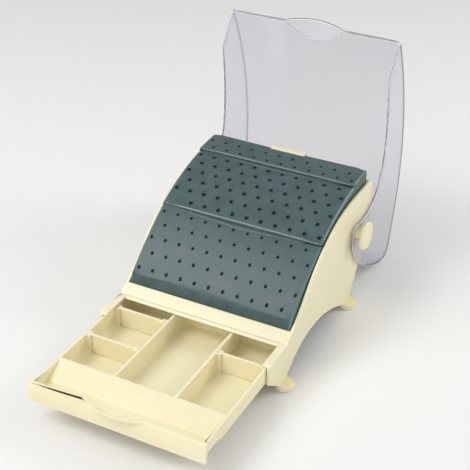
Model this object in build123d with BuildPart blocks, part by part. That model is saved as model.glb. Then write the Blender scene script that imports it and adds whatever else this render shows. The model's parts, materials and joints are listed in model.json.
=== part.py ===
# A bench block for dental burs: a hollow base with a drilled insert on top, a drawer below
# and a clear lid that swings on two knobs. Modelled with the drawer out and the lid back.
# X runs across the block, Y from the drawer front to the back, Z up from the table.
from build123d import *
import os

os.makedirs("parts", exist_ok=True)

# Base housing, a moulding open at the top, the front and below
base_half_width = 58.3
base_wall = 1.8
bay_half_width = base_half_width - base_wall
nose_front = -62.2
ledge_top = 27.7
ledge_underside = 25.9
ledge_inner = 53.4
beam_top = (-31.9, 31.7)
beam_bottom = (-40.3, 26.4)
rim_height = 79.1
leg_end = 3.0
tab_half_width = 12.3
tab_front = 81.4
tab_depth = 4.6
tab_top = 88.9

# Round feet
foot_radius = 6.0
foot_height = 4.0
foot_x = 59.4
front_foot_y = -42.7
rear_foot_y = 55.3

# Bur insert, a drilled plate that is bent to the slope of the base
insert_half_width = 56.0
insert_depth = 12.0
notch_play = 0.4
insert_back = 83.3
back_zone = ((62.4, 86.8), (73.0, 87.8), (insert_back, 88.3))
middle_zone = ((12.8, 69.3), (36.5, 79.1), (62.4, 85.0))
front_zone = ((-27.6, 37.8), (-8.3, 54.3), (12.8, 67.8))
insert_front = (-30.2, 31.6)
row_count = 13
row_pitch = 8.2
first_row_y = 74.3
hole_pitch = 10.0
holes_in_row = 11
half_stagger = 2.5
fine_hole = 1.9
small_hole = 2.2
large_hole = 2.7
socket_depth = 10.0

# Lid, its hinge line and its knobs
pivot = (62.3, 52.7)
shaft_radius = 3.6
shaft_play = 0.05
lid_half_width = 60.4
lid_wall = 1.6
scoop_sphere = 47.0
scoop_circle = 23.5
scoop_rise = 9.5
knob_inner = 65.6
knob_outer = 68.0
knob_radius = 9.3
boss_radius = 6.5
boss_inner = 53.0

# Drawer, shown pulled out
drawer_half_width = 56.1
drawer_wall = 1.6
drawer_top = 25.4
drawer_underside = 10.2
drawer_floor = 11.6
drawer_corner = 6.5
drawer_rear = -26.2
box_front = -117.2
partition_y = -110.2
gutter_floor = 18.5
gutter_underside = 17.3
panel_half_width = 57.4
panel_back_top = -134.6
panel_top = 26.2
panel_bottom = 13.8
cell_walls = ((-18.7, -16.9), (21.3, 23.3))
divider_thickness = 1.8
divider_play = 0.2
rib_thickness = 1.2
rib_depth = 3.0
left_front_divider_y = -80.6
left_rear_divider_y = -48.7
right_divider_y = -60.0

# Drawer pull, a spout pressed forward from the top of the front panel
spout_radius = 37.4
spout_reach = -141.6
spout_bottom = 17.5
spout_foot_radius = 33.7
spout_wall = 1.5


def arc_height(zone, y):
    """Height at y of the arc through the zone's three (y, z) points."""
    (y1, z1), (y2, z2), (y3, z3) = zone
    turn = 2 * (y1 * (z2 - z3) + y2 * (z3 - z1) + y3 * (z1 - z2))
    s1 = y1 * y1 + z1 * z1
    s2 = y2 * y2 + z2 * z2
    s3 = y3 * y3 + z3 * z3
    centre_y = (s1 * (z2 - z3) + s2 * (z3 - z1) + s3 * (z1 - z2)) / turn
    centre_z = (s1 * (y3 - y2) + s2 * (y1 - y3) + s3 * (y2 - y1)) / turn
    radius_squared = (y1 - centre_y) ** 2 + (z1 - centre_z) ** 2
    return centre_z + (radius_squared - (y - centre_y) ** 2) ** 0.5


def insert_height(y):
    """Height of the insert's top surface at y."""
    if y > middle_zone[2][0]:
        return arc_height(back_zone, y)
    if y > front_zone[2][0]:
        return arc_height(middle_zone, y)
    return arc_height(front_zone, y)


def row_positions(row):
    """Centres of one row's holes; every second row is shifted half a pitch."""
    y = first_row_y - row_pitch * (row - 1)
    shift = half_stagger if row % 2 == 0 else -half_stagger
    first = 1 if row == 8 else 0
    middle = (holes_in_row - 1) / 2
    return [(hole_pitch * (i - middle) + shift, y) for i in range(first, holes_in_row)]


def row_diameter(row):
    """Two rows for small shanks at the back, then large shanks, then fine ones."""
    if row <= 2:
        return small_hole
    return large_hole if row <= 8 else fine_hole


def lowered(zone, drop):
    """The zone's three points moved down."""
    return [(y, z - drop) for y, z in zone]


with BuildPart() as base_housing:
    # Side view of the whole moulding, cut from a full-width block
    with BuildSketch(Plane.YZ):
        with BuildLine():
            Spline(
                beam_top,
                (-22.3, 38.2),
                (-5.2, 53.5),
                (8.5, 63.6),
                (23.0, 71.2),
                (37.9, 76.1),
                (53.9, 78.5),
                (70.7, rim_height),
            )
            Line((70.7, rim_height), (86.5, rim_height))
            ThreePointArc((86.5, rim_height), (89.4, 77.9), (90.5, 75.0))
            Spline(
                (90.5, 75.0),
                (89.6, 63.9),
                (87.6, 51.0),
                (82.8, 36.2),
                (75.4, 22.5),
                (68.2, 11.5),
                (60.8, leg_end),
            )
            Line((60.8, leg_end), (49.6, leg_end))
            Spline(
                (49.6, leg_end),
                (42.5, 6.5),
                (17.9, 15.2),
                (-5.3, 16.9),
                (-19.8, 13.7),
                (-29.0, 9.0),
                (-37.2, leg_end),
            )
            Polyline(
                (-37.2, leg_end),
                (-48.0, leg_end),
                (-50.9, 6.0),
                (nose_front, 14.0),
                (nose_front, 24.2),
            )
            ThreePointArc((nose_front, 24.2), (-61.2, 26.7), (-58.7, ledge_top))
            Polyline((-58.7, ledge_top), (-38.2, ledge_top), beam_top)
        make_face()
    extrude(amount=base_half_width, both=True)
    # Hollow between the side walls, from the drawer mouth to the back wall
    with BuildSketch(Plane.YZ):
        with BuildLine():
            Polyline(
                (57.0, -1.0),
                (-70.0, -1.0),
                (-70.0, ledge_underside),
                (-37.7, ledge_underside),
                (-30.6, 30.4),
                (-30.6, 95.0),
                (88.6, 95.0),
                (88.6, 75.0),
            )
            Spline(
                (88.6, 75.0),
                (87.8, 63.9),
                (85.8, 51.2),
                (81.1, 36.9),
                (73.9, 23.6),
                (66.7, 12.5),
                (57.0, -1.0),
            )
        make_face()
    extrude(amount=bay_half_width, both=True, mode=Mode.SUBTRACT)
    # Mouth above the drawer, between the two ledges and in front of the beam
    with BuildSketch(Plane.YZ):
        Polygon(
            (-70.0, 24.0),
            (-70.0, 29.0),
            (-36.2, 29.0),
            beam_bottom,
            (beam_bottom[0], 24.0),
            align=None,
        )
    extrude(amount=ledge_inner, both=True, mode=Mode.SUBTRACT)
    # Arch between the rear legs
    with BuildSketch(Plane.XZ.offset(-95.0)):
        RectangleRounded(92.0, 30.0, 8.0)
    extrude(amount=48.0, mode=Mode.SUBTRACT)
    # Shelves that carry the insert's front and rear skirts
    with BuildSketch(Plane.YZ):
        with Locations((-30.3, 27.6)):
            Rectangle(6.0, 1.8)
        with Locations((84.6, 75.3)):
            Rectangle(8.6, 1.8)
    extrude(amount=bay_half_width + 0.4, both=True)
    # Tab that stands in the insert's notch
    with BuildSketch(Plane.XY.offset(75.0)):
        with Locations((0.0, tab_front + tab_depth / 2)):
            Rectangle(2 * tab_half_width, tab_depth)
    extrude(amount=tab_top - 75.0)
    fillet(base_housing.edges().group_by(Axis.Z)[-1].filter_by(Axis.X), radius=0.8)
    # Short shelves for the drawer floor, front and rear
    for side in (-1, 1):
        with BuildSketch(Plane.XY.offset(8.3)):
            with Locations((side * 50.4, -41.5), (side * 50.4, 47.0)):
                Rectangle(12.6, 17.0)
        extrude(amount=1.6)
    # Bosses for the knob shafts
    for side in (-1, 1):
        with BuildSketch(Plane.YZ.offset(side * boss_inner)):
            with Locations(pivot):
                Circle(boss_radius)
        extrude(amount=side * (bay_half_width - boss_inner + 0.4))
    with BuildSketch(Plane.YZ):
        with Locations(pivot):
            Circle(shaft_radius + shaft_play)
    extrude(amount=base_half_width + 1.0, both=True, mode=Mode.SUBTRACT)
    # Feet
    with BuildSketch(Plane.XY):
        for side in (-1, 1):
            with Locations((side * foot_x, front_foot_y), (side * foot_x, rear_foot_y)):
                Circle(foot_radius)
    extrude(amount=foot_height)
base_housing.part.label = "base_housing"

with BuildPart() as bur_insert:
    # Plate with the stepped top, its front and rear edges cut flat for the shelves
    with BuildSketch(Plane.YZ):
        with BuildLine():
            Line(insert_front, front_zone[0])
            ThreePointArc(*front_zone)
            Line(front_zone[2], middle_zone[0])
            ThreePointArc(*middle_zone)
            Line(middle_zone[2], back_zone[0])
            ThreePointArc(*back_zone)
            Line(back_zone[2], (insert_back, back_zone[2][1] - insert_depth))
            Polyline(
                (insert_back, back_zone[2][1] - insert_depth),
                (79.5, back_zone[2][1] - insert_depth),
                (62.4, 85.0 - insert_depth),
            )
            ThreePointArc(*reversed(lowered(middle_zone, insert_depth)))
            Line((12.8, 69.3 - insert_depth), (12.8, 67.8 - insert_depth))
            ThreePointArc((12.8, 67.8 - insert_depth), (-7.6, 54.8 - insert_depth), (-26.4, 26.8))
            Polyline((-26.4, 26.8), (-26.4, 28.6), (insert_front[0], 28.6), insert_front)
        make_face()
    extrude(amount=insert_half_width, both=True)
    # Sockets, closed at the bottom and upright, each a fixed depth below the surface
    for row in range(1, row_count + 1):
        centre_height = insert_height(first_row_y - row_pitch * (row - 1))
        with BuildSketch(Plane.XY.offset(centre_height - socket_depth)):
            with Locations(*row_positions(row)):
                Circle(row_diameter(row) / 2)
        extrude(amount=socket_depth + 4.0, mode=Mode.SUBTRACT)
    # Notch for the base's tab
    with BuildSketch(Plane.XY):
        with Locations((0.0, tab_front - notch_play + 5.0)):
            Rectangle(2 * (tab_half_width + notch_play), 10.0)
    extrude(amount=100.0, mode=Mode.SUBTRACT)
    # The one moulding is kept as three touching solids, one for each step of the top
    for step_y in (front_zone[2][0], middle_zone[2][0]):
        split(bisect_by=Plane.XZ.offset(-step_y), keep=Keep.BOTH)
bur_insert.part.label = "bur_insert"

# Cone that the pull's outer face follows, and the one that hollows it
spout_axis = spout_reach + spout_radius
spout_height = panel_top - spout_bottom
with BuildPart() as spout_form:
    with Locations((0.0, spout_axis, spout_bottom)):
        Cone(
            spout_foot_radius,
            spout_radius,
            spout_height,
            align=(Align.CENTER, Align.CENTER, Align.MIN),
        )
    with Locations((0.0, -146.0, 20.0)):
        Box(60.0, 20.0, 20.0, mode=Mode.INTERSECT)
with BuildPart() as spout_hollow:
    with Locations((0.0, spout_axis, spout_bottom)):
        Cone(
            spout_foot_radius - spout_wall,
            spout_radius - spout_wall,
            spout_height,
            align=(Align.CENTER, Align.CENTER, Align.MIN),
        )
    with Locations((0.0, -144.5, 29.4)):
        Box(60.0, 20.0, 20.0, mode=Mode.INTERSECT)

with BuildPart() as drawer:
    # Deep box with round lower edges, then the shallow part in front of it
    with BuildSketch(Plane.XZ.offset(-drawer_rear)):
        with BuildLine():
            Polyline(
                (-drawer_half_width, drawer_underside + drawer_corner),
                (-drawer_half_width, drawer_top),
                (drawer_half_width, drawer_top),
                (drawer_half_width, drawer_underside + drawer_corner),
            )
            RadiusArc(
                (drawer_half_width, drawer_underside + drawer_corner),
                (drawer_half_width - drawer_corner, drawer_underside),
                drawer_corner,
            )
            Line(
                (drawer_half_width - drawer_corner, drawer_underside),
                (drawer_corner - drawer_half_width, drawer_underside),
            )
            RadiusArc(
                (drawer_corner - drawer_half_width, drawer_underside),
                (-drawer_half_width, drawer_underside + drawer_corner),
                drawer_corner,
            )
        make_face()
    extrude(amount=drawer_rear - box_front)
    with BuildSketch(Plane.YZ):
        Polygon(
            (box_front, gutter_underside),
            (-135.6, gutter_underside),
            (-134.8, drawer_top),
            (box_front, drawer_top),
            align=None,
        )
    extrude(amount=drawer_half_width, both=True)
    # Front panel, slightly bowed and leaning out at its foot
    with BuildSketch(Plane.YZ):
        with BuildLine():
            ThreePointArc((-136.7, panel_top), (-137.7, 20.0), (-138.0, panel_bottom))
            Polyline(
                (-138.0, panel_bottom),
                (-136.0, panel_bottom),
                (panel_back_top, panel_top),
                (-136.7, panel_top),
            )
        make_face()
    extrude(amount=panel_half_width, both=True)
    add(spout_form.part)
    # Front gutter behind the panel, with its sloping back
    with BuildSketch(Plane.YZ):
        Polygon(
            (partition_y, 30.0),
            (partition_y, drawer_top),
            (-124.2, 19.5),
            (-124.8, gutter_floor),
            (-135.3, gutter_floor),
            (panel_back_top, panel_top),
            (panel_back_top, 30.0),
            align=None,
        )
    extrude(amount=drawer_half_width - drawer_wall, both=True, mode=Mode.SUBTRACT)
    add(spout_hollow.part, mode=Mode.SUBTRACT)
    # Relief below the sloping back
    with BuildSketch(Plane.YZ):
        Polygon(
            (-115.4, 9.0),
            (-115.4, 21.2),
            (-110.4, 23.3),
            (-110.4, 9.0),
            align=None,
        )
    extrude(amount=drawer_half_width - drawer_corner - 1.0, both=True, mode=Mode.SUBTRACT)
    # Three long cells; the outer two have a round edge along the side walls
    cell_outer = drawer_half_width - drawer_wall
    inner_corner = drawer_corner - 0.6
    with BuildSketch(Plane.XZ.offset(-drawer_rear + drawer_wall)):
        with BuildLine():
            Polyline(
                (-cell_outer, drawer_floor + inner_corner),
                (-cell_outer, 30.0),
                (cell_walls[0][0], 30.0),
                (cell_walls[0][0], drawer_floor),
                (inner_corner - cell_outer, drawer_floor),
            )
            RadiusArc(
                (inner_corner - cell_outer, drawer_floor),
                (-cell_outer, drawer_floor + inner_corner),
                inner_corner,
            )
        make_face()
        with BuildLine():
            Polyline(
                (cell_outer, drawer_floor + inner_corner),
                (cell_outer, 30.0),
                (cell_walls[1][1], 30.0),
                (cell_walls[1][1], drawer_floor),
                (cell_outer - inner_corner, drawer_floor),
            )
            RadiusArc(
                (cell_outer, drawer_floor + inner_corner),
                (cell_outer - inner_corner, drawer_floor),
                inner_corner,
            )
        make_face()
        with Locations(((cell_walls[0][1] + cell_walls[1][0]) / 2, (drawer_floor + 30.0) / 2)):
            Rectangle(cell_walls[1][0] - cell_walls[0][1], 30.0 - drawer_floor)
    extrude(amount=drawer_rear - drawer_wall - partition_y - 1.8, mode=Mode.SUBTRACT)
    # Pairs of ribs that hold the loose dividers
    rib_step = (divider_thickness + divider_play + rib_thickness) / 2
    rib_places = []
    for y in (left_front_divider_y, left_rear_divider_y):
        for x in (-cell_outer + rib_depth / 2, cell_walls[0][0] - rib_depth / 2):
            rib_places += [(x, y - rib_step), (x, y + rib_step)]
    for x in (cell_walls[1][1] + rib_depth / 2, cell_outer - rib_depth / 2):
        rib_places += [(x, right_divider_y - rib_step), (x, right_divider_y + rib_step)]
    with BuildSketch(Plane.XY.offset(drawer_floor - 0.2)):
        with Locations(*rib_places):
            Rectangle(rib_depth + 0.2, rib_thickness)
    extrude(amount=drawer_top - drawer_floor + 0.2)
drawer.part.label = "drawer"

# Loose dividers: each spans its cell and rounds off over the cell's round edge
divider_corner = inner_corner + 0.8
divider_gap = 0.3
left_span = (-cell_outer + divider_gap, cell_walls[0][0] - divider_gap)
right_span = (cell_walls[1][1] + divider_gap, cell_outer - divider_gap)
divider_list = (
    ("cross_divider_left_front", left_span, left_front_divider_y, -1),
    ("cross_divider_left_rear", left_span, left_rear_divider_y, -1),
    ("cross_divider_right", right_span, right_divider_y, 1),
)
for divider_name, span, divider_y, round_side in divider_list:
    with BuildPart() as divider:
        with BuildSketch(Plane.XZ.offset(-divider_y - divider_thickness / 2)):
            with BuildLine():
                round_x = span[0] if round_side < 0 else span[1]
                square_x = span[1] if round_side < 0 else span[0]
                foot = drawer_floor + 0.1
                Polyline(
                    (round_x, foot + divider_corner),
                    (round_x, drawer_top - 0.1),
                    (square_x, drawer_top - 0.1),
                    (square_x, foot),
                    (round_x - round_side * divider_corner, foot),
                )
                RadiusArc(
                    (round_x - round_side * divider_corner, foot),
                    (round_x, foot + divider_corner),
                    -round_side * divider_corner,
                )
            make_face()
        extrude(amount=divider_thickness)
    divider.part.label = divider_name
    export_step(divider.part, f"parts/{divider_name}.step")

# Spherical bulge for the fingertip at the lid's free edge
panel_tilt = 23.0
scoop_centre_height = scoop_rise
scoop_setback = (scoop_sphere**2 - scoop_circle**2) ** 0.5
free_edge = Plane(origin=(0.0, 116.0, 166.4), x_dir=(1, 0, 0), z_dir=(0, 0, 1)).rotated(
    (panel_tilt, 0, 0)
)
with BuildPart(free_edge) as scoop_form:
    with Locations((0.0, -scoop_setback, scoop_rise)):
        Sphere(scoop_sphere)
    with Locations((0.0, 10.0 - lid_wall / 2, -15.0)):
        Box(60.0, 20.0, 30.0, mode=Mode.INTERSECT)
with BuildPart(free_edge) as scoop_hollow:
    with Locations((0.0, -scoop_setback, scoop_rise)):
        Sphere(scoop_sphere - lid_wall)
    with Locations((0.0, 5.0, -10.0)):
        Box(60.0, 20.0, 40.0, mode=Mode.INTERSECT)

with BuildPart() as lid:
    with BuildSketch(Plane.YZ):
        with BuildLine():
            Spline(
                (116.0, 166.4),
                (128.5, 138.6),
                (136.8, 111.0),
                (141.1, 77.0),
                (139.9, 50.8),
                (136.9, 33.0),
                (130.2, 6.7),
            )
            ThreePointArc((130.2, 6.7), (127.3, 2.5), (122.5, 0.9))
            Spline(
                (122.5, 0.9),
                (112.0, 2.3),
                (101.1, 6.2),
                (87.0, 13.4),
                (74.5, 22.0),
                (62.8, 32.4),
                (57.2, 42.0),
                (56.3, pivot[1]),
                tangents=[(-1.0, 0.0), (0.0, 1.0)],
            )
            ThreePointArc((56.3, pivot[1]), (58.3, 57.6), (62.9, 58.7))
            Spline(
                (62.9, 58.7),
                (77.1, 58.6),
                (91.1, 64.0),
                (101.0, 76.5),
                (105.0, 98.0),
                (104.6, 119.3),
                (101.2, 144.4),
            )
            Line((101.2, 144.4), (116.0, 166.4))
        make_face()
    extrude(amount=lid_half_width, both=True)
    # Inside: one wall thickness in from the outline's back, and the wall ends below the hinge
    with BuildSketch(Plane.YZ):
        with BuildLine():
            Spline((87.0, 15.2), (101.7, 7.7), (112.4, 3.9), (122.5, 2.5))
            ThreePointArc((122.5, 2.5), (126.35, 3.8), (128.65, 7.1))
            Spline(
                (128.65, 7.1),
                (135.35, 33.3),
                (138.3, 50.9),
                (139.5, 77.0),
                (135.25, 110.6),
                (127.0, 138.0),
                (114.5, 165.8),
            )
            Polyline(
                (114.5, 165.8),
                (112.0, 171.0),
                (40.0, 171.0),
                (40.0, -5.0),
                (87.0, -5.0),
                (87.0, 15.2),
            )
        make_face()
    extrude(amount=lid_half_width - lid_wall, both=True, mode=Mode.SUBTRACT)
    add(scoop_form.part)
    add(scoop_hollow.part, mode=Mode.SUBTRACT)
    with BuildSketch(Plane.YZ):
        with Locations(pivot):
            Circle(shaft_radius + shaft_play)
    extrude(amount=lid_half_width + 1.0, both=True, mode=Mode.SUBTRACT)
lid.part.label = "lid"

# Knobs: a broad head outside the lid and a shaft that snaps through the base wall
for knob_name, side in (("pivot_knob_left", -1), ("pivot_knob_right", 1)):
    with BuildPart() as knob:
        with BuildSketch(Plane.YZ.offset(side * knob_inner)):
            with Locations(pivot):
                Circle(knob_radius)
        extrude(amount=side * (knob_outer - knob_inner))
        fillet(knob.edges().sort_by(Axis.X)[-1 if side > 0 else 0], radius=1.0)
        with BuildSketch(Plane.YZ.offset(side * (boss_inner - 2.0))):
            with Locations(pivot):
                Circle(shaft_radius)
        extrude(amount=side * (knob_inner - boss_inner + 2.0))
        with BuildSketch(Plane.YZ.offset(side * (boss_inner - 2.0))):
            with Locations(pivot):
                Circle(shaft_radius + 0.6)
        extrude(amount=side * 1.7)
    knob.part.label = knob_name
    export_step(knob.part, f"parts/{knob_name}.step")

export_step(base_housing.part, "parts/base_housing.step")
export_step(bur_insert.part, "parts/bur_insert.step")
export_step(drawer.part, "parts/drawer.step")
export_step(lid.part, "parts/lid.step")
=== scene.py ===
# %% [markdown]
# # A dental bur block
# The object is a bench block that holds dental burs: an ivory moulded base, a dark drilled
# insert, a divided drawer and a clear lid that swings back on two knobs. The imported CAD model
# gives every piece its real shape and place. This file gives each piece the soft edges and
# the finish that moulded plastic has, then lights it and sets the camera. The model could be
# made again here from nothing, but starting from the CAD pieces keeps every size true.

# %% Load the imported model
import json
import math

import bmesh
import bpy
from mathutils import Matrix, Vector
from mathutils.bvhtree import BVHTree


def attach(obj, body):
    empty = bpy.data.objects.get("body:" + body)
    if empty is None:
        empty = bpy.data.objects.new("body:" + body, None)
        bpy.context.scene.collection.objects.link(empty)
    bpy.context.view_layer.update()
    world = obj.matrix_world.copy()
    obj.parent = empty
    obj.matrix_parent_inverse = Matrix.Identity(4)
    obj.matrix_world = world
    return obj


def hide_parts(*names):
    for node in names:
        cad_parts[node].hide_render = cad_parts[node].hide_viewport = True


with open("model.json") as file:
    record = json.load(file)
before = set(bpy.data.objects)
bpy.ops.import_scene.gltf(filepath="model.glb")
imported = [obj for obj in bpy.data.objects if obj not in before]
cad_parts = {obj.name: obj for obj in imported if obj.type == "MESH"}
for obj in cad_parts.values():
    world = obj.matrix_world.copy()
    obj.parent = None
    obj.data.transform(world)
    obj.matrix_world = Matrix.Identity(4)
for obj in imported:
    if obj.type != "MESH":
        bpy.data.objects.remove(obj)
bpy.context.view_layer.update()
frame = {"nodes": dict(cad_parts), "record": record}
MM = 0.001
bodies = frame["record"]["behaviour"]["bodies"]

# %% [markdown]
# ## Where the camera looks
# The photograph was taken from the front right and above. Its angles and distance were found
# from the even pitch of the insert's holes and from the straight edges of the drawer. A
# camera can be aimed with a constraint, or by three angles of rotation. Here its direction is
# worked out from a compass angle and a height angle, because those two can be read as a
# photographer would say them: how far round, and how high. A small roll then tilts the frame.

# %% The camera's directions
azimuth = math.radians(26.84)
elevation = math.radians(31.09)
roll = math.radians(0.91)

look = Vector((
    -math.sin(azimuth) * math.cos(elevation),
    math.cos(azimuth) * math.cos(elevation),
    -math.sin(elevation),
))
level_right = Vector((math.cos(azimuth), math.sin(azimuth), 0.0))
level_up = level_right.cross(look)
right = level_right * math.cos(roll) + level_up * math.sin(roll)
up = right.cross(look)
print("camera looks along", [round(value, 3) for value in look])

# %% [markdown]
# ## The camera in its place
# The lens is long for the size of the frame, so the block's sides stay nearly parallel, as in
# a catalogue picture. A camera could be turned until the view looks right, but it looks along
# its own -Z with +Y up, so the three directions become the columns of its rotation, and it is
# right at once.

# %% Place the camera
camera_place = Vector((273.7, -534.7, 429.3)) * MM
lens_mm = 86.55
sensor_mm = 36.0

camera_data = bpy.data.cameras.new("camera")
camera_data.lens = lens_mm
camera_data.sensor_width = sensor_mm
camera = bpy.data.objects.new("camera", camera_data)
bpy.context.scene.collection.objects.link(camera)
turn = Matrix((right, up, -look)).transposed().to_4x4()
camera.matrix_world = Matrix.Translation(camera_place) @ turn
bpy.context.scene.camera = camera
print("camera stands", round(camera_place.length, 3), "m from the block's middle")

# %% [markdown]
# ## Soft lamps
# A product studio uses a few large soft lamps. One big panel at the upper left models the
# form, a second behind on the right puts a bright line along the edges, and a wide weak one
# in front opens the shadows inside the drawer. Together they light a surface at about the
# colour it is written in. Point lamps or a sun would give hard shadows that the photograph
# doesn't have, so all three are square area lamps, aimed at the middle of the block.

# %% Three lamps
aim_point = Vector((0.0, 0.0, 0.05))
lamps = {
    "key_panel": {"place": (-0.55, -0.55, 0.95), "size": 0.7, "power": 7.6},
    "edge_panel": {"place": (0.75, 0.55, 0.55), "size": 0.5, "power": 3.6},
    "front_fill": {"place": (0.35, -1.1, 0.5), "size": 0.8, "power": 2.4},
}
for name, made in lamps.items():
    lamp_data = bpy.data.lights.new(name, "AREA")
    lamp_data.shape = "SQUARE"
    lamp_data.size = made["size"]
    lamp_data.energy = made["power"]
    lamp = bpy.data.objects.new(name, lamp_data)
    bpy.context.scene.collection.objects.link(lamp)
    place = Vector(made["place"])
    aim = (aim_point - place).to_track_quat("-Z", "Y").to_matrix().to_4x4()
    lamp.matrix_world = Matrix.Translation(place) @ aim
    print(name, "is", round((aim_point - place).length, 2), "m away")

# %% [markdown]
# ## Colours and nodes
# A colour is written as sRGB hex, but shaders work in linear light, so one
# function turns the first into the second.
# One more function adds a node with its settings and its links in one call, which keeps a
# tree readable from top to bottom, in the order in which its values flow.

# %% Helpers for colours and nodes
def srgb(text, alpha=1.0):
    """A colour written as sRGB hex, turned to the linear values that shaders use."""
    levels = [int(text[i:i + 2], 16) / 255 for i in (1, 3, 5)]
    linear = [v / 12.92 if v <= 0.04045 else ((v + 0.055) / 1.055) ** 2.4 for v in levels]
    return (*linear, alpha)


def add(tree, kind, links=(), **settings):
    """Adds one node. Settings name its properties or input sockets; links feed its inputs."""
    node = tree.nodes.new(kind)
    for key, value in settings.items():
        if hasattr(node, key):
            setattr(node, key, value)
        else:
            node.inputs[key.replace("_", " ")].default_value = value
    for source, target in links:
        tree.links.new(source, node.inputs[target])
    return node


print("middle grey in linear light:", [round(v, 3) for v in srgb("#808080")])

# %% [markdown]
# ## The world
# The world fills the shadows with a faint cool light. The white behind the object is only for
# the camera, and for rays that pass through or bounce off the clear lid, so it adds no light
# to the object. A white wall could do the same, but it would have to be lit, and its light
# would fall on the block too. The Light Path node tells the kinds of ray apart.

# %% World
fill_strength = 0.55
backdrop_strength = 0.97

world = bpy.data.worlds.new("studio")
bpy.context.scene.world = world
world.use_nodes = True
tree = world.node_tree
tree.nodes.clear()
path = add(tree, "ShaderNodeLightPath")
seen = add(tree, "ShaderNodeMath", [
    (path.outputs["Is Camera Ray"], 0), (path.outputs["Is Glossy Ray"], 1)], operation="MAXIMUM")
shown = add(tree, "ShaderNodeMath", [
    (seen.outputs[0], 0), (path.outputs["Is Transmission Ray"], 1)], operation="MAXIMUM")
fill = add(tree, "ShaderNodeBackground", Color=srgb("#F4F6FA"), Strength=fill_strength)
backdrop = add(
    tree, "ShaderNodeBackground", Color=srgb("#FFFFFF"), Strength=backdrop_strength)
mixed = add(tree, "ShaderNodeMixShader", [
    (shown.outputs[0], 0), (fill.outputs[0], 1), (backdrop.outputs[0], 2)])
add(tree, "ShaderNodeOutputWorld", [(mixed.outputs[0], "Surface")])

bpy.context.scene.view_settings.view_transform = "Standard"
print("world nodes:", len(tree.nodes))

# %% [markdown]
# ## The floor
# The block stands on a wide sheet of pale, almost matt studio paper. The sheet is so large
# that its edge is seldom in view, and it lies a hair below the feet, so that two surfaces
# never share one plane, which would flicker.

# %% Floor
floor_size = 6.0
floor_drop = 0.2 * MM

bpy.ops.mesh.primitive_plane_add(size=floor_size, location=(0, 0, 0))
floor = bpy.context.object
floor.name = "studio_floor"
floor.data.transform(Matrix.Translation((0, 0, -floor_drop)))
paper = bpy.data.materials.new("pale_studio_paper")
paper.use_nodes = True
paper_shader = paper.node_tree.nodes["Principled BSDF"]
paper_shader.inputs["Base Color"].default_value = srgb("#EFEEEB")
paper_shader.inputs["Roughness"].default_value = 0.9
paper_shader.inputs["Specular IOR Level"].default_value = 0.2
floor.data.materials.append(paper)
print("floor is", floor_size, "m wide")

# %% [markdown]
# ## Moulded plastics
# Everything here is plastic, but with three looks: ivory, dark grey-green and clear. Each
# material is built from its shader out: first the shader with the values that are the same
# all over, then the slow drift of colour, then the change in gloss, then the fine grain. The
# patterns read the object's own coordinates turned to millimetres, so that the size of each
# can be written as a real size, and so that no pattern needs the mesh to be unwrapped.

# %% A start for each plastic
def plastic(name, **fixed):
    """A new material, its node tree, its shader and object coordinates in millimetres."""
    material = bpy.data.materials.new(name)
    material.use_nodes = True
    tree = material.node_tree
    shader = tree.nodes["Principled BSDF"]
    for key, value in fixed.items():
        shader.inputs[key.replace("_", " ")].default_value = value
    place = add(tree, "ShaderNodeTexCoord")
    in_mm = add(tree, "ShaderNodeVectorMath", [(place.outputs["Object"], 0)], operation="SCALE")
    in_mm.inputs["Scale"].default_value = 1 / MM
    return material, tree, shader, in_mm.outputs[0]


print("one millimetre is", MM, "of the scene's units")

# %% [markdown]
# ## Ivory plastic
# The base, drawer, dividers and knobs are one ivory plastic, such as polystyrene or ABS,
# injection moulded in a polished and lightly worn mould. Light goes a little way into it, red
# furthest, which keeps its shadows warm, so the shader has some subsurface scattering. The
# plastic's flow leaves a faint slow drift of colour. Years of wiping change its gloss over a
# few millimetres. The finest grain is made coarser than the real one, or it wouldn't show.

# %% Ivory moulded plastic
ivory, tree, shader, in_mm = plastic(
    "ivory_moulded_plastic", IOR=1.49, Subsurface_Weight=0.22, Subsurface_Scale=4 * MM,
    Specular_IOR_Level=0.5, Coat_Weight=0.12, Coat_Roughness=0.12)
shader.inputs["Subsurface Radius"].default_value = (1.0, 0.72, 0.34)

flow_mm = 26.0
flow = add(tree, "ShaderNodeTexNoise", [(in_mm, "Vector")], Scale=1 / flow_mm, Detail=3.0)
tone = add(tree, "ShaderNodeMix", [(flow.outputs["Fac"], "Factor")], data_type="RGBA")
tone.inputs["A"].default_value = srgb("#ECE1B9")
tone.inputs["B"].default_value = srgb("#F1E8C6")
tree.links.new(tone.outputs["Result"], shader.inputs["Base Color"])

wipe_mm = 5.0
wipe = add(tree, "ShaderNodeTexNoise", [(in_mm, "Vector")], Scale=1 / wipe_mm, Detail=5.0)
gloss = add(tree, "ShaderNodeMapRange", [(wipe.outputs["Fac"], "Value")])
gloss.inputs["To Min"].default_value = 0.27
gloss.inputs["To Max"].default_value = 0.42
tree.links.new(gloss.outputs["Result"], shader.inputs["Roughness"])

grain_mm = 0.9
grain = add(tree, "ShaderNodeTexNoise", [(in_mm, "Vector")], Scale=1 / grain_mm, Detail=2.0)
bump = add(tree, "ShaderNodeBump", [(grain.outputs["Fac"], "Height")], Strength=0.05)
bump.inputs["Distance"].default_value = 0.05 * MM
tree.links.new(bump.outputs["Normal"], shader.inputs["Normal"])
print(ivory.name, "drifts over", flow_mm, "mm, wiped over", wipe_mm, "mm, grain", grain_mm, "mm")

# %% [markdown]
# ## Grey-green plastic
# The insert is a dark grey-green plastic, such as polypropylene or ABS, moulded against a
# spark-eroded surface, so it is satin with a fine grit that breaks up its reflections. Its
# pigment is cloudy. A noise is mostly near its middle value, so its range is stretched before
# it drives the colour and the gloss, or the clouds would hardly show.

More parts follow.
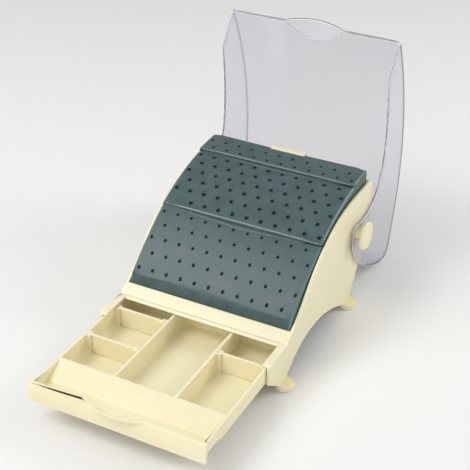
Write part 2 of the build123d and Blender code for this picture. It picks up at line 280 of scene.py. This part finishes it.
# %% Grey-green satin plastic
green, tree, shader, in_mm = plastic(
    "grey_green_satin_plastic", IOR=1.5, Specular_IOR_Level=0.5)

cloud_mm = 9.0
cloud = add(tree, "ShaderNodeTexNoise", [(in_mm, "Vector")], Scale=1 / cloud_mm, Detail=6.0)
spread = add(tree, "ShaderNodeMapRange", [(cloud.outputs["Fac"], "Value")])
spread.inputs["From Min"].default_value = 0.32
spread.inputs["From Max"].default_value = 0.68
tone = add(tree, "ShaderNodeMix", [(spread.outputs["Result"], "Factor")], data_type="RGBA")
tone.inputs["A"].default_value = srgb("#334848")
tone.inputs["B"].default_value = srgb("#3F5757")
tree.links.new(tone.outputs["Result"], shader.inputs["Base Color"])
gloss = add(tree, "ShaderNodeMapRange", [(spread.outputs["Result"], "Value")])
gloss.inputs["To Min"].default_value = 0.36
gloss.inputs["To Max"].default_value = 0.47
tree.links.new(gloss.outputs["Result"], shader.inputs["Roughness"])

grit_mm = 0.55
grit = add(tree, "ShaderNodeTexNoise", [(in_mm, "Vector")], Scale=1 / grit_mm, Detail=3.0)
bump = add(tree, "ShaderNodeBump", [(grit.outputs["Fac"], "Height")], Strength=0.3)
bump.inputs["Distance"].default_value = 0.06 * MM
tree.links.new(bump.outputs["Normal"], shader.inputs["Normal"])
print(green.name, "has clouds of", cloud_mm, "mm and grit of", grit_mm, "mm")

# %% [markdown]
# ## Painted highlight on the edges of the grey-green plastic
# The insert's rounded edges get a second material, smoother than its faces and a little paler:
# the paler colour is a painted highlight that draws a bright line along each step. The highlight
# could be painted by a mask or found from the surface's curvature, but the bevel that rounds the
# edges can give its own faces a second material, which puts the highlight exactly on the edges.

# %% Grey-green edge with a painted highlight
green_highlight_edge, tree, shader, in_mm = plastic(
    "grey_green_plastic_painted_highlight_edge", IOR=1.5, Specular_IOR_Level=0.7)

highlight_patch_mm = 6.0
highlight_patches = add(tree, "ShaderNodeTexNoise", [(in_mm, "Vector")], Scale=1 / highlight_patch_mm, Detail=4.0)
# The paler tone is a painted highlight along the rounded edges, varied in patches.
tone = add(tree, "ShaderNodeMix", [(highlight_patches.outputs["Fac"], "Factor")], data_type="RGBA")
tone.inputs["A"].default_value = srgb("#48605F")
tone.inputs["B"].default_value = srgb("#607A79")
tree.links.new(tone.outputs["Result"], shader.inputs["Base Color"])
gloss = add(tree, "ShaderNodeMapRange", [(highlight_patches.outputs["Fac"], "Value")])
gloss.inputs["To Min"].default_value = 0.2
gloss.inputs["To Max"].default_value = 0.32
tree.links.new(gloss.outputs["Result"], shader.inputs["Roughness"])
print(green_highlight_edge.name, "is painted paler in patches of", highlight_patch_mm, "mm")

# %% [markdown]
# ## Clear plastic
# The lid is clear polished plastic, such as acrylic or polystyrene. Its shader lets nearly
# all light through and keeps a little of the colour of the sheet. Moulding leaves long low
# ripples in a clear wall, which bend what is seen through it, so a slow noise drives a bump.

# %% Clear polished plastic
clear, tree, shader, in_mm = plastic(
    "clear_polished_plastic", IOR=1.49, Transmission_Weight=0.93, Roughness=0.05)
shader.inputs["Base Color"].default_value = srgb("#F1F0F6")

ripple_mm = 40.0
ripple = add(tree, "ShaderNodeTexNoise", [(in_mm, "Vector")], Scale=1 / ripple_mm, Detail=1.0)
bump = add(tree, "ShaderNodeBump", [(ripple.outputs["Fac"], "Height")], Strength=0.15)
bump.inputs["Distance"].default_value = 0.6 * MM
tree.links.new(bump.outputs["Normal"], shader.inputs["Normal"])
print(clear.name, "ripples over", ripple_mm, "mm")

# %% [markdown]
# ## Bright edges of the clear plastic
# A clear sheet carries light along its inside and lets it out at its edges, so they look
# milky and bright. A renderer would need very many rays to find that light. Instead the
# rounded edges get a paler material that lets less light through, with a slightly scuffed
# gloss, because the edges of a lid are what knocks against things.

# %% Light-gathering clear edge
clear_edge, tree, shader, in_mm = plastic(
    "clear_plastic_bright_edge", IOR=1.49, Transmission_Weight=0.35)

scuff_mm = 3.0
scuff = add(tree, "ShaderNodeTexNoise", [(in_mm, "Vector")], Scale=1 / scuff_mm, Detail=3.0)
tone = add(tree, "ShaderNodeMix", [(scuff.outputs["Fac"], "Factor")], data_type="RGBA")
tone.inputs["A"].default_value = srgb("#E6E5EE")
tone.inputs["B"].default_value = srgb("#F4F4F8")
tree.links.new(tone.outputs["Result"], shader.inputs["Base Color"])
gloss = add(tree, "ShaderNodeMapRange", [(scuff.outputs["Fac"], "Value")])
gloss.inputs["To Min"].default_value = 0.15
gloss.inputs["To Max"].default_value = 0.3
tree.links.new(gloss.outputs["Result"], shader.inputs["Roughness"])
print(clear_edge.name, "is scuffed in patches of", scuff_mm, "mm")

# %% [markdown]
# ## A clean copy of a CAD piece
# No moulded edge is sharp: the mould rounds each one, and that thin round line is what
# catches the studio light. The CAD pieces carry the exact shapes with sharp edges. A CAD
# piece is never changed, so its mesh is copied. The copy is loose triangles, and an edge can
# only be rounded between faces that share it, so its doubled points are merged first. Stored
# normals are dropped, because they belong to the shape before its edges are rounded.

# %% Copy and weld
weld_distance = 0.002 * MM
imported_shading = ("custom_normal", "sharp_edge", "sharp_face")


def welded_copy(node, materials, tidy=None):
    """A copy of a CAD node's mesh, and the same as a bmesh with its doubles merged."""
    mesh = frame["nodes"][node].data.copy()
    mesh.materials.clear()
    for material in materials:
        mesh.materials.append(material)
    for stored in list(mesh.attributes):
        if stored.name in imported_shading:
            mesh.attributes.remove(stored)
    bm = bmesh.new()
    bm.from_mesh(mesh)
    bmesh.ops.remove_doubles(bm, verts=bm.verts, dist=weld_distance)
    if tidy:
        tidy(bm)
    return mesh, bm


print("points nearer than", weld_distance / MM, "mm are merged")

# %% [markdown]
# ## How wide each edge is rounded
# One width for a whole piece would blur a thin rim or leave a broad corner too crisp. So each
# piece has a small function of its own that says how wide an edge is rounded, in millimetres,
# from where the edge is and which way its faces point. The answer is written to the edge as a
# bevel weight, which is a share of the widest. An edge that stays sharp is marked so, and the
# shading breaks there.

# %% Weigh the edges
sharp_angle = math.radians(28)


def weigh_edges(bm, widths):
    """Stores how wide each sharp edge is rounded, and returns the widest, in millimetres."""
    weight = bm.edges.layers.float.new("bevel_weight_edge")
    chosen = {}
    for edge in bm.edges:
        if len(edge.link_faces) == 2 and edge.calc_face_angle(0.0) > sharp_angle:
            middle = (edge.verts[0].co + edge.verts[1].co) / (2 * MM)
            chosen[edge] = widths(edge, middle)
    widest = max(chosen.values())
    for edge, width in chosen.items():
        edge[weight] = width / widest
        edge.smooth = width > 0
    return widest


print("edges that turn more than", round(math.degrees(sharp_angle)), "degrees are weighed")

# %% [markdown]
# ## From modifiers to a plain mesh
# Modifiers keep a shape easy to change while it is made. They could stay live, but the export
# and the joints work on plain meshes, so a finished piece has none: its evaluated mesh is
# taken as it is, and replaces the one it was made from.

# %% Make a plain mesh
def make_plain(piece):
    """Replaces a piece's mesh with what its modifiers make of it, and removes them."""
    evaluated = piece.evaluated_get(bpy.context.evaluated_depsgraph_get())
    finished = bpy.data.meshes.new_from_object(evaluated)
    finished.name = piece.name
    piece.modifiers.clear()
    piece.data = finished


print("modifiers are cleared on every finished piece")

# %% [markdown]
# ## Rounding a piece
# The Bevel modifier rounds the weighed edges, and can give the new faces their own material.
# Then Weighted Normal makes the large flat faces win over the narrow round ones, so that a
# flat wall shades flat right up to its edge. The piece rides on the same body as the CAD node
# it stands for, and hides that node.

# %% Round the edges of a copied piece
bevel_segments = 3
flat_face_weight = 80
same_finish = -1
edge_finish = 1


def softened(node, name, materials, widths, tidy=None):
    """Stands a copy with rounded edges in for a CAD node. The first material is for its faces,
    and a second, where there is one, for its rounded edges."""
    mesh, bm = welded_copy(node, materials, tidy)
    widest = weigh_edges(bm, widths)
    for face in bm.faces:
        face.smooth = True
        face.material_index = 0
    bm.to_mesh(mesh)
    bm.free()
    piece = bpy.data.objects.new(name, mesh)
    bpy.context.scene.collection.objects.link(piece)
    bevel = piece.modifiers.new("soft_edges", "BEVEL")
    bevel.limit_method = "WEIGHT"
    bevel.width = widest * MM
    bevel.segments = bevel_segments
    bevel.use_clamp_overlap = False
    bevel.loop_slide = False
    bevel.material = edge_finish if len(materials) > 1 else same_finish
    shade = piece.modifiers.new("even_shading", "WEIGHTED_NORMAL")
    shade.keep_sharp = True
    shade.weight = flat_face_weight
    make_plain(piece)
    body = next(b for b, members in bodies.items() if node in members)
    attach(piece, body)
    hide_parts(node)
    print(name, "has", len(piece.data.polygons), "faces, widest edge", widest, "mm")
    return piece


print("each rounded edge is", bevel_segments, "faces wide")

# %% [markdown]
# ## The base housing
# The base is one thin-walled moulding. Its rims are rounded just enough to be kind to the
# hand, and its four round feet are rounded more, so they show a bright line near the table.
# An edge belongs to a foot if it is low down and its middle is one foot's radius away from
# that foot's centre.

# %% Base housing
rim_width = 0.35
foot_edge_width = 0.8
foot_radius = 6.0
foot_x = 59.4
feet_y = (-42.7, 55.3)
foot_height = 4.6
near_foot = 0.15


def housing_widths(edge, middle):
    """The round edges of the feet are rounded most, then the rims."""
    for foot_y in feet_y:
        reach = math.hypot(abs(middle.x) - foot_x, middle.y - foot_y)
        if middle.z < foot_height and abs(reach - foot_radius) < near_foot:
            return foot_edge_width
    return rim_width


housing = softened("base_housing", "housing_shell", [ivory], housing_widths)

# %% [markdown]
# ## Even faces for the insert
# The insert's top has three steps, and it comes from CAD as three solids that touch at the
# steps. Its flat walls are covered in long thin triangles that run from socket to socket, and
# a bevel along such a triangle shades badly. So the insert is first cut between its columns of
# sockets. Then the slanting edges inside the two flat step walls are dissolved, which leaves
# each wall a row of upright panels.

# %% Cut the insert into even panels
step_lines = (12.8, 62.4)
column_cuts = range(-50, 60, 10)
cut_tolerance = 1e-7
on_line = 0.01
flat_angle = 0.01


def evened(bm):
    """Cuts the insert between its columns of sockets, and clears its step walls' diagonals."""
    for cut in column_cuts:
        everything = [*bm.verts, *bm.edges, *bm.faces]
        bmesh.ops.bisect_plane(
            bm, geom=everything, plane_co=(cut * MM, 0, 0), plane_no=(1, 0, 0),
            dist=cut_tolerance)
    for line in step_lines:
        slanting = [
            edge for edge in bm.edges
            if all(abs(v.co.y / MM - line) < on_line for v in edge.verts)
            and len(edge.link_faces) == 2 and edge.calc_face_angle(1.0) < flat_angle
            and abs(abs(edge.verts[0].co.x) - abs(edge.verts[1].co.x)) > on_line * MM
        ]
        bmesh.ops.dissolve_edges(bm, edges=slanting, use_verts=False)


print("the insert is cut at", list(column_cuts), "mm")

# %% [markdown]
# ## The drilled insert
# The insert's long side edges and its rear edge are rounded broadly, its step crests less, and
# the mouths of its sockets stay crisp, because each gets a rim of its own below. The edges are
# told apart by their place and by the way their faces point: a crest joins a face that looks
# up and one that looks to the front.

# %% Bur insert
crest_width = 0.7
side_edge_width = 1.1
rear_edge_width = 1.6
front_edge_width = 0.8
insert_side_x = 55.9
insert_rear_y = 83.2
insert_front_y = -27.0


def insert_widths(edge, middle):
    """Broad rounding at the rear and sides, less on the step crests, none at the sockets."""
    upward = any(face.normal.z > 0.3 for face in edge.link_faces)
    outward = any(abs(face.normal.x) > 0.9 for face in edge.link_faces)
    forward = any(face.normal.y < -0.9 for face in edge.link_faces)
    level = abs(edge.verts[0].co.z - edge.verts[1].co.z) < on_line * MM
    if any(all(abs(v.co.y / MM - line) < on_line for v in edge.verts) for line in step_lines):
        return crest_width if upward and forward and level and edge.is_convex else 0.0
    if upward and outward and abs(middle.x) > insert_side_x:
        return side_edge_width
    if upward and middle.y > insert_rear_y:
        return rear_edge_width
    if middle.y < insert_front_y and abs(middle.x) < insert_side_x:
        return front_edge_width
    return 0.0


# The rounded edges take the paler material, a painted highlight along each step.
insert = softened("bur_insert", "drilled_insert", [green, green_highlight_edge], insert_widths, evened)

# %% [markdown]
# ## Where the sockets are
# The sockets stand in 13 rows, each row half a step aside from the last, and the insert's top
# slopes, so their mouths lie at many heights and angles. These could be copied from the CAD
# source as numbers, but a ray sent straight down beside each socket finds the height and the
# lean of the real surface. A socket is upright in a sloping surface, so its mouth is longer
# down the slope than across. Both the lean and that stretch are stored on the point.

# %% Find the sockets' mouths
row_pitch = 8.2
first_row = 74.3
hole_pitch = 10.0
holes_in_row = 11
half_stagger = 2.5
short_row = 8
radius_by_row = [1.1] * 2 + [1.35] * 6 + [0.95] * 5
beside_mouth = 0.6
ray_start = 0.2

surface = BVHTree.FromPolygons(
    [v.co for v in insert.data.vertices], [p.vertices for p in insert.data.polygons])
down = Vector((0, 0, -1))
places, leans, stretches = [], [], []
for row, radius in enumerate(radius_by_row, start=1):
    y = (first_row - row_pitch * (row - 1)) * MM
    shift = -half_stagger if row % 2 else half_stagger
    count = holes_in_row - 1 if row == short_row else holes_in_row
    for column in range(count):
        x = (shift + hole_pitch * (column - (holes_in_row - 1) / 2)) * MM
        beside = Vector((radius + beside_mouth, 0, 0)) * MM
        hit, normal, _, _ = surface.ray_cast(Vector((x, y, ray_start)) + beside, down)
        places.append((x, y, hit.z))
        leans.append(normal)
        stretches.append((radius, radius / normal.z, radius))
heights = [place[2] / MM for place in places]
print(len(places), "sockets, heights", round(min(heights), 1), "to", round(max(heights), 1), "mm")

# %% [markdown]
# ## One point for each socket
# A loop could build each ring by itself, but Geometry Nodes can put a copy of one small shape
# on every point of a mesh. So the places become a mesh that is nothing but points, and the
# leans and stretches become attributes that the nodes can read by name.

# %% Points with a lean and a stretch
rims = bpy.data.meshes.new("rim_points")
rims.from_pydata(places, [], [])
for name, values in (("lean", leans), ("stretch", stretches)):
    stored = rims.attributes.new(name, "FLOAT_VECTOR", "POINT")
    stored.data.foreach_set("vector", [v for value in values for v in value])
print("each point carries", [stored.name for stored in rims.attributes])

# %% [markdown]
# ## Guide rims round the sockets
# Each socket has a low rounded rim where the mould's core pin met the surface. It guides the
# shank in, and shows as a pale ring. A bevel on 142 round holes would make a very heavy mesh,
# and each ring is the same shape but for its size. So the tree below sweeps one small circle
# round a larger one, sets the ring on every point, leans and stretches it to fit, and makes
# the copies real, because a copy that isn't real is lost when the model is exported. The ring
# is drawn for a socket of 1 mm radius, and is a little wider than that socket.

# %% Build the rims' node tree
ring_sides = 24
lip_sides = 8
ring_per_radius = 1.12

rim_tree = bpy.data.node_groups.new("socket_rims", "GeometryNodeTree")
interface = rim_tree.interface
interface.new_socket("Geometry", in_out="INPUT", socket_type="NodeSocketGeometry")
lip = interface.new_socket("Lip Radius", in_out="INPUT", socket_type="NodeSocketFloat")
finish = interface.new_socket("Finish", in_out="INPUT", socket_type="NodeSocketMaterial")
interface.new_socket("Geometry", in_out="OUTPUT", socket_type="NodeSocketGeometry")
given = add(rim_tree, "NodeGroupInput")
ring = add(
    rim_tree, "GeometryNodeCurvePrimitiveCircle",
    Resolution=ring_sides, Radius=ring_per_radius * MM)
section = add(rim_tree, "GeometryNodeCurvePrimitiveCircle", [
    (given.outputs["Lip Radius"], "Radius")], Resolution=lip_sides)
torus = add(rim_tree, "GeometryNodeCurveToMesh", [
    (ring.outputs["Curve"], "Curve"), (section.outputs["Curve"], "Profile Curve")])
lean = add(rim_tree, "GeometryNodeInputNamedAttribute", data_type="FLOAT_VECTOR", Name="lean")
stretch = add(
    rim_tree, "GeometryNodeInputNamedAttribute", data_type="FLOAT_VECTOR", Name="stretch")
upright = add(rim_tree, "FunctionNodeAlignRotationToVector", [
    (lean.outputs["Attribute"], "Vector")], axis="Z")
placed = add(rim_tree, "GeometryNodeInstanceOnPoints", [
    (given.outputs["Geometry"], "Points"), (torus.outputs["Mesh"], "Instance"),
    (upright.outputs["Rotation"], "Rotation"), (stretch.outputs["Attribute"], "Scale")])
real = add(rim_tree, "GeometryNodeRealizeInstances", [
    (placed.outputs["Instances"], "Geometry")])
smooth = add(rim_tree, "GeometryNodeSetShadeSmooth", [(real.outputs["Geometry"], "Geometry")])
coloured = add(rim_tree, "GeometryNodeSetMaterial", [
    (smooth.outputs["Geometry"], "Geometry"), (given.outputs["Finish"], "Material")])
add(rim_tree, "NodeGroupOutput", [(coloured.outputs["Geometry"], "Geometry")])
print("rim tree has", len(rim_tree.nodes), "nodes")

# %% [markdown]
# ## The rims on the insert
# The tree's inputs are set on the modifier by their identifiers, which stay the same when a
# name changes. The rims are part of the insert's moulding, so they ride on the same body.

# %% Put the rims in place
lip_radius = 0.14 * MM

rim_piece = bpy.data.objects.new("socket_rims", rims)
bpy.context.scene.collection.objects.link(rim_piece)
modifier = rim_piece.modifiers.new("rims", "NODES")
modifier.node_group = rim_tree
modifier[lip.identifier] = lip_radius
modifier[finish.identifier] = green
make_plain(rim_piece)
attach(rim_piece, "base")
print("rims have", len(rim_piece.data.polygons), "faces")

# %% [markdown]
# ## The drawer
# The drawer is thin-walled like the base. Its inside corners are rounded too, because molten
# plastic flows and cools better round a curve, and because a burr can't lodge in one. Round
# the small spout at the front the walls meet at fine angles, and a wide bevel would run into
# the next one, so its edges are rounded less.

# %% Drawer
spout_edge_width = 0.12
spout_y = -134.0
spout_top = 25.0
spout_half_width = 22.0


def drawer_widths(edge, middle):
    """The spout's edges are finer than the rims."""
    at_spout = middle.y < spout_y and middle.z < spout_top and abs(middle.x) < spout_half_width
    return spout_edge_width if at_spout else rim_width


drawer = softened("drawer", "divided_drawer", [ivory], drawer_widths)

# %% [markdown]
# ## Dividers and knobs
# Three loose plates split the drawer's long trays into cells, and two knobs hold the lid. All
# five are small ivory mouldings with one width of rounding all over, so one loop makes them.

# %% Dividers and knobs
knob_edge_width = 0.3
small_pieces = {
    "cross_divider_left_front": ("loose_divider_left_front", rim_width),
    "cross_divider_left_rear": ("loose_divider_left_rear", rim_width),
    "cross_divider_right": ("loose_divider_right", rim_width),
    "pivot_knob_left": ("lid_knob_left", knob_edge_width),
    "pivot_knob_right": ("lid_knob_right", knob_edge_width),
}
for node, (name, width) in small_pieces.items():
    softened(node, name, [ivory], lambda edge, middle: width)

# %% [markdown]
# ## The clear lid
# The lid is one clear sheet-like moulding: a curved back that turns under at the bottom, and
# two side walls. Where the back meets the sides the mould gives a broad round corner, outside
# and inside, which shows as a bright double line: partly light caught by the rounding, partly
# the painted glow of the paler edge material. A long corner edge follows the back, so its
# two ends share one X. An outer one lies at the walls' outer faces, an inner one between the
# walls.

# %% Lid
lid_outside_x = 60.3
lid_inside_x = 58.9
outer_corner_width = 0.7
inner_corner_width = 0.9
lid_rim_width = 0.45
nearly_along = 0.5


def lid_widths(edge, middle):
    """Broad corners between the back and the sides, polished small ones elsewhere."""
    across = abs(edge.verts[0].co.x - edge.verts[1].co.x) / MM
    by_side = any(abs(face.normal.x) > 0.9 for face in edge.link_faces)
    outside = abs(middle.x) > lid_outside_x
    inside = abs(middle.x) < lid_inside_x
    if across < nearly_along and by_side and outside and edge.is_convex:
        return outer_corner_width
    if inside and by_side and not edge.is_convex:
        return inner_corner_width
    return lid_rim_width


lid = softened("lid", "clear_lid", [clear, clear_edge], lid_widths)
